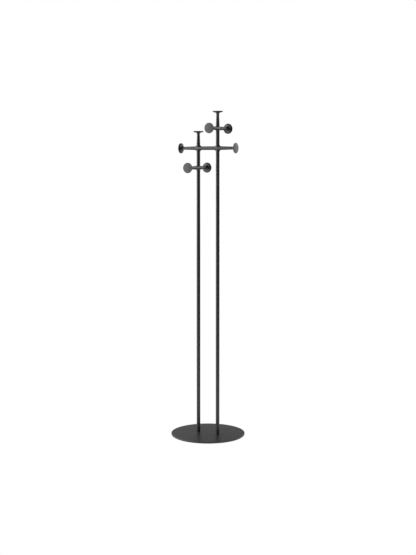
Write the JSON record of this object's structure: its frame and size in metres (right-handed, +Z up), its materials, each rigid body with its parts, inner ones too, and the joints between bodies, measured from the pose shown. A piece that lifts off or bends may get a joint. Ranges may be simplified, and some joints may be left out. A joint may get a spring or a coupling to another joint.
{
  "type": "standing coat rack",
  "caption": "Tall black steel coat rack: two round posts on a flat round base, joined by a crossbar, with round trumpet-shaped hooks on the posts, crossbar ends and two arms.",
  "frame": {"origin": "centre of the underside, on the floor", "axes": "+Z up along the posts, +X along the crossbar towards the higher post, -Y to the front"},
  "size_m": [0.3999, 0.4, 1.76],
  "materials": {
    "powder_coat": "satin",
    "powder_coat_cast": "satin",
    "zinc_plated_steel": "satin",
    "rubber": "matte"
  },
  "bodies": {
    "root": {"floor_pad": "rubber", "base_plate": "powder_coat", "base_screws": "zinc_plated_steel", "left_foot_plug": "zinc_plated_steel", "right_foot_plug": "zinc_plated_steel", "left_post": "powder_coat", "right_post": "powder_coat", "left_top_plug": "zinc_plated_steel", "right_top_plug": "zinc_plated_steel", "lower_arm_hub": "powder_coat_cast", "crossbar_left_hub": "powder_coat_cast", "crossbar_right_hub": "powder_coat_cast", "upper_arm_hub": "powder_coat_cast", "left_spacer_tube": "powder_coat", "right_spacer_tube": "powder_coat", "crossbar_tube": "powder_coat", "left_top_hook": "powder_coat_cast", "right_top_hook": "powder_coat_cast", "crossbar_left_hook": "powder_coat_cast", "crossbar_right_hook": "powder_coat_cast", "upper_front_hook": "powder_coat_cast", "upper_rear_hook": "powder_coat_cast", "lower_front_hook": "powder_coat_cast", "lower_rear_hook": "powder_coat_cast", "left_tie_rod": "zinc_plated_steel", "right_tie_rod": "zinc_plated_steel", "hook_studs": "zinc_plated_steel"}
  },
  "joints": []
}
